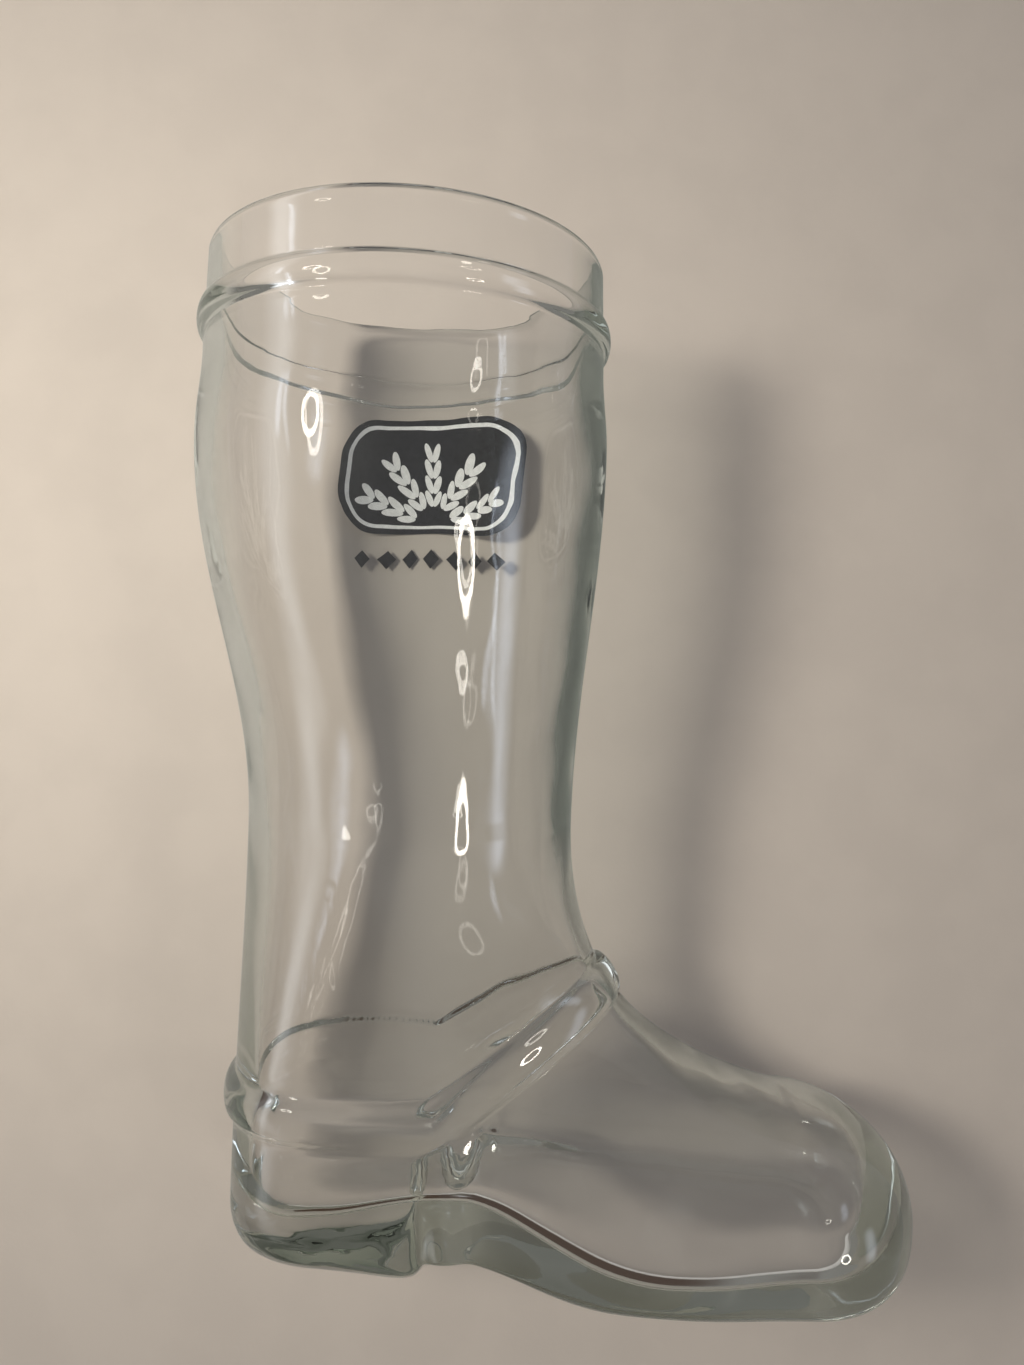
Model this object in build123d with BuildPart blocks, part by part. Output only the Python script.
"""A clear glass drinking boot with moulded harness straps, a mouth band and a fired print.

The outside and the hollow are lofts. Their sections are level circles down the leg, then a fan of
egg shapes that turns round the ankle into the foot, then a rounded nose for the toe.
The glass is held as the parts that its moulded lines mark off, meeting face to face.
Millimetres, +Z up, toe towards +X, the origin on the table under the middle of the boot.
"""

import os
from math import cos, pi, radians, sin, sqrt, tan

from build123d import *

# Mouth
BOOT_HEIGHT = 197.0
LIP_RADIUS = 39.5
LIP_WALL = 2.8
LIP_ROUNDNESS = 0.45
BAND_TALL = 20.0
COLLAR_RADIUS = 40.2
BEAD_CLEAR = 2.7
BEAD_WIDTH = 5.6
BEAD_RISE = 1.5

# Leg, with the calf's drop below the collar and the waist's place ahead of the mouth's axis
CALF_DROP = 17.0
CALF_RADIUS = 41.3
WAIST_HEIGHT = 85.0
WAIST_RADIUS = 32.5
WAIST_AHEAD = 3.7
LEG_WALL = 3.6

# Foot, with distances ahead of the mouth's axis towards the toe
INSTEP_AHEAD = 46.0
INSTEP_HEIGHT = 52.0
VAMP_AHEAD = 62.0
VAMP_HEIGHT = 39.2
TOE_CAP_AHEAD = 81.0
TOE_CAP_HEIGHT = 31.7
TOE_CAP_SLOPE = 14.0
TOE_AHEAD = 106.0
TOE_TIP_HEIGHT = 11.0
TOE_CAP_HALF_WIDTH = 30.4
ANKLE_HALF_WIDTH = 22.5
BALL_HALF_WIDTH = 31.8
FOOT_WALL = 4.0
TOE_WALL = 7.5

# Heel, arch and sole
HEEL_BACK = -30.4
HEEL_BACK_HEIGHT = 9.0
HEEL_FRONT = 7.0
HEEL_WALL = 5.0
HEEL_FLOOR = 12.0
HEEL_FLOOR_CORNER = 9.0
ARCH_AHEAD = 17.0
ARCH_HEIGHT = 7.5
ARCH_FLOOR = 16.0
BREAST_LEAN = 3.0
BREAST_HEIGHT = 5.6
SOLE_START = 47.0
SOLE_FLOOR = 6.5
SEAM_RISE = 2.0
ROUND_BELOW = 4.0

# Harness straps, which meet at a ring on each side of the ankle
STRAP_RISE = 1.7
RING_AHEAD = 11.0
RING_HEIGHT = 31.5
ANKLE_STRAP_WIDTH = 8.0
INSTEP_STRAP_WIDTH = 8.5
INSTEP_STRAP_SLOPE = 35.0
ARCH_STRAP_WIDTH = 6.5

# Fired print on the far side of the leg
ENAMEL = 0.2
PRINT_DROP = 34.5
PRINT_AHEAD = 3.2
PLAQUE_WIDTH = 47.0
PLAQUE_TALL = 28.0
PLAQUE_CORNER = 10.0
FRAME_INSET = 1.4
FRAME_LINE = 0.9
EARS = 5
EAR_TURN = 34.0
EAR_ROOT = 7.6
GRAIN_PAIRS = 4
GRAIN_STEP = 3.6
GRAIN_LENGTH = 4.6
GRAIN_WIDTH = 1.9
GRAIN_LEAN = 24.0
GRAIN_SPLAY = 1.2
RULE_GAP = 6.5
RULE_PITCH = 5.6
LOZENGES = 7
LOZENGE_WIDTH = 4.2
LOZENGE_TALL = 4.6

# How the sections are shared out
CALF_SECTIONS = 2
SHIN_SECTIONS = 7
FAN_SECTIONS = 10
ANKLE_SHARE = 0.46
BALL_SHARE = 0.88
FOOT_WIDEST_SHARE = 0.6
HEEL_FULLNESS = 0.7
SOLE_FULLNESS = 0.88
NOSE_SHARES = (0.3, 0.55, 0.75, 0.89, 0.96, 0.99)

# Handle length, as a share of the radius, with which a curve draws a quarter circle
ROUND = 4 / 3 * (sqrt(2) - 1)

# Heights above the table
COLLAR_HEIGHT = BOOT_HEIGHT - BAND_TALL
CALF_HEIGHT = COLLAR_HEIGHT - CALF_DROP
BEAD_LOW = COLLAR_HEIGHT + BEAD_CLEAR
BEAD_HIGH = BEAD_LOW + BEAD_WIDTH
BEAD_HEIGHT = (BEAD_LOW + BEAD_HIGH) / 2
PRINT_HEIGHT = BOOT_HEIGHT - PRINT_DROP
RULE_HEIGHT = PRINT_HEIGHT - PLAQUE_TALL / 2 - RULE_GAP


def band_radius(height):
    """The outside of the mouth band, which narrows a little from the collar to the lip."""
    share = (height - COLLAR_HEIGHT) / BAND_TALL
    return COLLAR_RADIUS + (LIP_RADIUS - COLLAR_RADIUS) * share


# The middle of the boot's length lies this far ahead of the mouth's axis
MIDDLE = (TOE_AHEAD - max(CALF_RADIUS, band_radius(BEAD_HEIGHT) + BEAD_RISE)) / 2
BEYOND = BOOT_HEIGHT


def drawn(ahead, height):
    """A point of the boot's middle plane, for a sketch from the side."""
    return ahead - MIDDLE, height


def at(ahead, height):
    """The same point in space."""
    return Vector(ahead - MIDDLE, 0, height)


def ease(start, end, share):
    """A smooth change from one value to another."""
    return start + (end - start) * (1 - cos(pi * share)) / 2


# The boot from the side: the front of the foot, the back and underside, and the inner floor
with BuildLine() as front_line:
    Spline(
        at(WAIST_AHEAD + WAIST_RADIUS, WAIST_HEIGHT),
        at(INSTEP_AHEAD, INSTEP_HEIGHT),
        at(VAMP_AHEAD, VAMP_HEIGHT),
        at(TOE_CAP_AHEAD, TOE_CAP_HEIGHT),
        tangents=((0, 0, -1), (1, 0, -tan(radians(TOE_CAP_SLOPE)))),
    )

with BuildLine() as back_line:
    leg_back = Spline(
        at(WAIST_AHEAD - WAIST_RADIUS, WAIST_HEIGHT),
        at(HEEL_BACK, HEEL_BACK_HEIGHT),
        tangents=((0, 0, -1), (0, 0, -1)),
    )
    heel_round = TangentArc(
        leg_back @ 1,
        at(HEEL_BACK + HEEL_BACK_HEIGHT + ROUND_BELOW, -ROUND_BELOW),
        tangent=(0, 0, -1),
    )
    Line(heel_round @ 1, at(TOE_CAP_AHEAD, -ROUND_BELOW))

with BuildLine() as floor_line:
    inner_back = Spline(
        at(WAIST_AHEAD - WAIST_RADIUS + LEG_WALL, WAIST_HEIGHT),
        at(HEEL_BACK + HEEL_WALL, HEEL_FLOOR + HEEL_FLOOR_CORNER),
        tangents=((0, 0, -1), (0, 0, -1)),
    )
    inner_round = TangentArc(
        inner_back @ 1,
        at(HEEL_BACK + HEEL_WALL + HEEL_FLOOR_CORNER, HEEL_FLOOR),
        tangent=(0, 0, -1),
    )
    Spline(
        inner_round @ 1,
        at(ARCH_AHEAD, ARCH_FLOOR),
        at(SOLE_START, SOLE_FLOOR),
        at(TOE_CAP_AHEAD, SOLE_FLOOR),
        tangents=((1, 0, 0), (1, 0, 0)),
    )


def level_circle(height, radius, ahead):
    """A round section: its front point, back point, half width, widest share and back fullness."""
    return at(ahead + radius, height), at(ahead - radius, height), radius, 0.5, ROUND


def leg_sections(wall):
    """Level circles from the collar over the calf to the waist."""
    sections = []
    for step in range(CALF_SECTIONS):
        share = step / CALF_SECTIONS
        height = COLLAR_HEIGHT + (CALF_HEIGHT - COLLAR_HEIGHT) * share
        sections.append(level_circle(height, ease(COLLAR_RADIUS, CALF_RADIUS, share) - wall, 0))
    for step in range(SHIN_SECTIONS + 1):
        share = step / SHIN_SECTIONS
        height = CALF_HEIGHT + (WAIST_HEIGHT - CALF_HEIGHT) * share
        radius = ease(CALF_RADIUS, WAIST_RADIUS, share) - wall
        sections.append(level_circle(height, radius, ease(0, WAIST_AHEAD, share)))
    return sections


def fan_sections(bottom_line, wall):
    """Egg sections that turn round the ankle, from the waist to the start of the toe cap."""
    sections = []
    for step in range(1, FAN_SECTIONS + 1):
        share = step / FAN_SECTIONS
        front = front_line.wire() @ share
        back = bottom_line.wire() @ share
        front = front + (back - front).normalized() * wall
        if share < ANKLE_SHARE:
            done = share / ANKLE_SHARE
            half_width = ease(WAIST_RADIUS, ANKLE_HALF_WIDTH, done)
            fullness = ease(ROUND, HEEL_FULLNESS, done)
        elif share < BALL_SHARE:
            done = (share - ANKLE_SHARE) / (BALL_SHARE - ANKLE_SHARE)
            half_width = ease(ANKLE_HALF_WIDTH, BALL_HALF_WIDTH, done)
            fullness = ease(HEEL_FULLNESS, SOLE_FULLNESS, done)
        else:
            done = (share - BALL_SHARE) / (1 - BALL_SHARE)
            half_width = ease(BALL_HALF_WIDTH, TOE_CAP_HALF_WIDTH, done)
            fullness = SOLE_FULLNESS
        sections.append((front, back, half_width - wall, ease(0.5, FOOT_WIDEST_SHARE, share), fullness))
    return sections


def nose_sections(start, toe, tip_height):
    """Upright eggs that shrink towards the toe as the slices of an ellipsoid do."""
    front, back, half_width, widest, fullness = start
    sections = []
    for share in NOSE_SHARES:
        left = sqrt(1 - share * share)
        ahead = front.X + (toe - front.X) * share / NOSE_SHARES[-1]
        top = Vector(ahead, 0, tip_height + (front.Z - tip_height) * left)
        bottom = Vector(ahead, 0, tip_height + (back.Z - tip_height) * left)
        sections.append((top, bottom, half_width * left, widest, fullness))
    return sections


def skin(sections):
    """A loft through egg sections, each with a round front half and a fuller back half."""
    outlines = []
    for front, back, half, share, full in sections:
        across = back - front
        ahead = across.length * share
        behind = across.length - ahead
        widest = Plane(front + across * share, x_dir=across, z_dir=across.cross(Vector(0, 1, 0)))
        with BuildSketch(widest, mode=Mode.PRIVATE) as outline:
            with BuildLine():
                Bezier((0, half), (-ROUND * ahead, half), (-ahead, ROUND * half), (-ahead, 0))
                Bezier((-ahead, 0), (-ahead, -ROUND * half), (-ROUND * ahead, -half), (0, -half))
                Bezier((0, -half), (full * behind, -half), (behind, -full * half), (behind, 0))
                Bezier((behind, 0), (behind, full * half), (full * behind, half), (0, half))
            make_face()
        outlines.append(outline.sketch.face())
    with BuildPart() as form:
        loft(outlines)
    return form.part


def outside(grow):
    """The boot's outer form, grown evenly, before its underside is ground flat."""
    fan = fan_sections(back_line, 0)
    nose = nose_sections(fan[-1], TOE_AHEAD - MIDDLE, TOE_TIP_HEIGHT)
    grown = []
    for front, back, half_width, share, fullness in leg_sections(0) + fan + nose:
        out = (back - front).normalized() * grow
        grown.append((front - out, back + out, half_width + grow, share, fullness))
    return skin(grown)


def hollow():
    """The inside of the leg and foot."""
    fan = fan_sections(floor_line, FOOT_WALL)
    nose = nose_sections(fan[-1], TOE_AHEAD - TOE_WALL - MIDDLE, TOE_TIP_HEIGHT + SOLE_FLOOR)
    return skin(leg_sections(LEG_WALL) + fan + nose)


def side_prism(*points):
    """A prism right through the boot, with these corner points in the side view."""
    with BuildPart() as prism:
        with BuildSketch(Plane.XZ):
            with BuildLine():
                Polyline(*[drawn(*point) for point in points], close=True)
            make_face()
        extrude(amount=BEYOND, both=True)
    return prism.part


def sole_prism():
    """Everything under the line where the foot's upper meets the sole."""
    with BuildPart() as prism:
        with BuildSketch(Plane.XZ):
            with BuildLine():
                seam = Spline(
                    drawn(RING_AHEAD, ARCH_FLOOR + SEAM_RISE),
                    drawn(SOLE_START, SOLE_FLOOR + SEAM_RISE),
                    drawn(TOE_AHEAD, SOLE_FLOOR + SEAM_RISE),
                    tangents=((1, 0), (1, 0)),
                )
                Polyline(seam @ 1, drawn(TOE_AHEAD, -BEYOND), drawn(RING_AHEAD, -BEYOND), seam @ 0)
            make_face()
        extrude(amount=BEYOND, both=True)
    return prism.part


def ground_flat(form):
    """An outer form with its heel and sole ground flat, and the arch hollowed out between them."""
    with BuildPart() as ground:
        add(form)
        split(bisect_by=Plane.XY, keep=Keep.TOP)
        with BuildSketch(Plane.XZ):
            with BuildLine():
                breast = Line(drawn(HEEL_FRONT, 0), drawn(HEEL_FRONT + BREAST_LEAN, BREAST_HEIGHT))
                arch = Spline(
                    breast @ 1,
                    drawn(ARCH_AHEAD, ARCH_HEIGHT),
                    drawn(SOLE_START, 0),
                    tangents=((1, 1), (1, 0)),
                )
                Polyline(
                    arch @ 1,
                    drawn(SOLE_START, -ROUND_BELOW),
                    drawn(HEEL_FRONT, -ROUND_BELOW),
                    breast @ 0,
                )
            make_face()
        extrude(amount=BEYOND, both=True, mode=Mode.SUBTRACT)
    return ground.part


# The zones of the side view that the straps mark off
ring = (RING_AHEAD, RING_HEIGHT)
slope = radians(INSTEP_STRAP_SLOPE)
slope_end = (RING_AHEAD + BEYOND * cos(slope), RING_HEIGHT + BEYOND * sin(slope))
block_top = HEEL_FLOOR + SEAM_RISE
leg_zone = side_prism((-BEYOND, RING_HEIGHT), ring, slope_end, (BEYOND, 2 * BEYOND), (-BEYOND, 2 * BEYOND))
counter_zone = side_prism((-BEYOND, block_top), (RING_AHEAD, block_top), ring, (-BEYOND, RING_HEIGHT))
block_zone = side_prism(
    (-BEYOND, -BEYOND), (RING_AHEAD, -BEYOND), (RING_AHEAD, block_top), (-BEYOND, block_top)
)
foot_zone = side_prism(ring, slope_end, (slope_end[0], -BEYOND), (RING_AHEAD, -BEYOND))
sole_zone = sole_prism()

plain_form = outside(0)
strap_form = ground_flat(outside(STRAP_RISE))
enamel_form = outside(ENAMEL)
glass_form = ground_flat(plain_form) - hollow()

# Leg, from the collar down to the ankle and instep straps
with BuildPart() as shaft:
    add(glass_form)
    add(leg_zone, mode=Mode.INTERSECT)
shaft.part.label = "shaft"

# Wall round the back of the heel, below the ankle strap
with BuildPart() as heel_counter:
    add(glass_form)
    add(counter_zone, mode=Mode.INTERSECT)
heel_counter.part.label = "heel_counter"

# Solid heel
with BuildPart() as heel_block:
    add(glass_form)
    add(block_zone, mode=Mode.INTERSECT)
heel_block.part.label = "heel_block"

# Upper of the foot, ahead of the straps
with BuildPart() as vamp:
    add(glass_form)
    add(foot_zone, mode=Mode.INTERSECT)
    add(sole_zone, mode=Mode.SUBTRACT)
vamp.part.label = "vamp"

# Thick sole, with the arch behind it
with BuildPart() as sole:
    add(glass_form)
    add(sole_zone, mode=Mode.INTERSECT)
sole.part.label = "sole"

# Mouth band with its polished lip
mouth_side = Plane(at(0, 0), x_dir=(1, 0, 0), z_dir=(0, -1, 0))
mouth_axis = Axis(at(0, 0), (0, 0, 1))
with BuildPart() as mouth_band:
    with BuildSketch(mouth_side) as band_section:
        with BuildLine():
            Polyline(
                (COLLAR_RADIUS - LEG_WALL, COLLAR_HEIGHT),
                (COLLAR_RADIUS, COLLAR_HEIGHT),
                (LIP_RADIUS, BOOT_HEIGHT),
                (LIP_RADIUS - LIP_WALL, BOOT_HEIGHT),
                close=True,
            )
        make_face()
        fillet(band_section.vertices().group_by(Axis.Z)[-1], radius=LIP_ROUNDNESS * LIP_WALL)
    revolve(axis=mouth_axis)
mouth_band.part.label = "mouth_band"

# Raised bead round the mouth band
with BuildPart() as cuff_bead:
    with BuildSketch(mouth_side):
        with BuildLine():
            swell = ThreePointArc(
                (band_radius(BEAD_LOW), BEAD_LOW),
                (band_radius(BEAD_HEIGHT) + BEAD_RISE, BEAD_HEIGHT),
                (band_radius(BEAD_HIGH), BEAD_HIGH),
            )
            Line(swell @ 1, swell @ 0)
        make_face()
    revolve(axis=mouth_axis)
cuff_bead.part.label = "cuff_bead"

# Harness straps: bands of the slightly larger form, standing on the glass
ankle_low = RING_HEIGHT - ANKLE_STRAP_WIDTH / 2
ankle_high = RING_HEIGHT + ANKLE_STRAP_WIDTH / 2
lift = INSTEP_STRAP_WIDTH / 2 / cos(slope)
arch_strap_front = RING_AHEAD + ARCH_STRAP_WIDTH
ankle_band = side_prism(
    (-BEYOND, ankle_low), (RING_AHEAD, ankle_low), (RING_AHEAD, ankle_high), (-BEYOND, ankle_high)
)
instep_band = side_prism(
    (RING_AHEAD, RING_HEIGHT - lift),
    (slope_end[0], slope_end[1] - lift),
    (slope_end[0], slope_end[1] + lift),
    (RING_AHEAD, RING_HEIGHT + lift),
)
arch_band = side_prism(
    (RING_AHEAD, -BEYOND),
    (arch_strap_front, -BEYOND),
    (arch_strap_front, RING_HEIGHT - lift + ARCH_STRAP_WIDTH * tan(slope)),
    (RING_AHEAD, RING_HEIGHT - lift),
)

with BuildPart() as ankle_strap:
    add(strap_form)
    add(ankle_band, mode=Mode.INTERSECT)
    add(plain_form, mode=Mode.SUBTRACT)
ankle_strap.part.label = "ankle_strap"

with BuildPart() as instep_strap:
    add(strap_form)
    add(instep_band, mode=Mode.INTERSECT)
    add(plain_form, mode=Mode.SUBTRACT)
instep_strap.part.label = "instep_strap"

with BuildPart() as arch_straps:
    add(strap_form)
    add(arch_band, mode=Mode.INTERSECT)
    add(plain_form, mode=Mode.SUBTRACT)
arch_straps.part.label = "arch_straps"


def grain(ear, pair, hand):
    """One barley grain's place: its ear's turn, its pair along the ear, its side of the stem."""
    turn = (ear - (EARS - 1) / 2) * EAR_TURN
    reach = EAR_ROOT + pair * GRAIN_STEP
    stem = Location((0, -PLAQUE_TALL / 2 + FRAME_INSET + FRAME_LINE, 0), (0, 0, -turn))
    return stem * Location((hand * GRAIN_SPLAY, reach, 0), (0, 0, -hand * GRAIN_LEAN))


# Fired print: a black plaque with a white frame and a white fan of barley ears, over a row of lozenges
print_side = Plane(at(PRINT_AHEAD, PRINT_HEIGHT), x_dir=(1, 0, 0), z_dir=(0, -1, 0))
rule_side = Plane(at(PRINT_AHEAD, RULE_HEIGHT), x_dir=(1, 0, 0), z_dir=(0, -1, 0))
frame_width = PLAQUE_WIDTH - 2 * FRAME_INSET
frame_tall = PLAQUE_TALL - 2 * FRAME_INSET
grains = [grain(ear, pair, hand) for ear in range(EARS) for pair in range(GRAIN_PAIRS) for hand in (-1, 1)]

with BuildSketch(print_side) as white_motif:
    RectangleRounded(frame_width, frame_tall, PLAQUE_CORNER - FRAME_INSET)
    RectangleRounded(
        frame_width - 2 * FRAME_LINE,
        frame_tall - 2 * FRAME_LINE,
        PLAQUE_CORNER - FRAME_INSET - FRAME_LINE,
        mode=Mode.SUBTRACT,
    )
    with Locations(*grains):
        Ellipse(GRAIN_WIDTH / 2, GRAIN_LENGTH / 2)

with BuildPart() as print_white:
    extrude(white_motif.sketch, amount=-BEYOND)
    add(enamel_form, mode=Mode.INTERSECT)
    add(plain_form, mode=Mode.SUBTRACT)
print_white.part.label = "print_white"

with BuildPart() as print_black:
    with BuildSketch(print_side):
        RectangleRounded(PLAQUE_WIDTH, PLAQUE_TALL, PLAQUE_CORNER)
        add(white_motif.sketch_local, mode=Mode.SUBTRACT)
    extrude(amount=-BEYOND)
    add(enamel_form, mode=Mode.INTERSECT)
    add(plain_form, mode=Mode.SUBTRACT)
print_black.part.label = "print_black"

with BuildPart() as print_rule:
    with BuildSketch(rule_side):
        with GridLocations(RULE_PITCH, 0, LOZENGES, 1):
            Polygon(
                (-LOZENGE_WIDTH / 2, 0),
                (0, -LOZENGE_TALL / 2),
                (LOZENGE_WIDTH / 2, 0),
                (0, LOZENGE_TALL / 2),
            )
    extrude(amount=-BEYOND)
    add(enamel_form, mode=Mode.INTERSECT)
    add(plain_form, mode=Mode.SUBTRACT)
print_rule.part.label = "print_rule"

os.makedirs("parts", exist_ok=True)
for piece in (
    mouth_band,
    cuff_bead,
    shaft,
    heel_counter,
    heel_block,
    vamp,
    sole,
    ankle_strap,
    instep_strap,
    arch_straps,
    print_black,
    print_white,
    print_rule,
):
    export_step(piece.part, f"parts/{piece.part.label}.step")
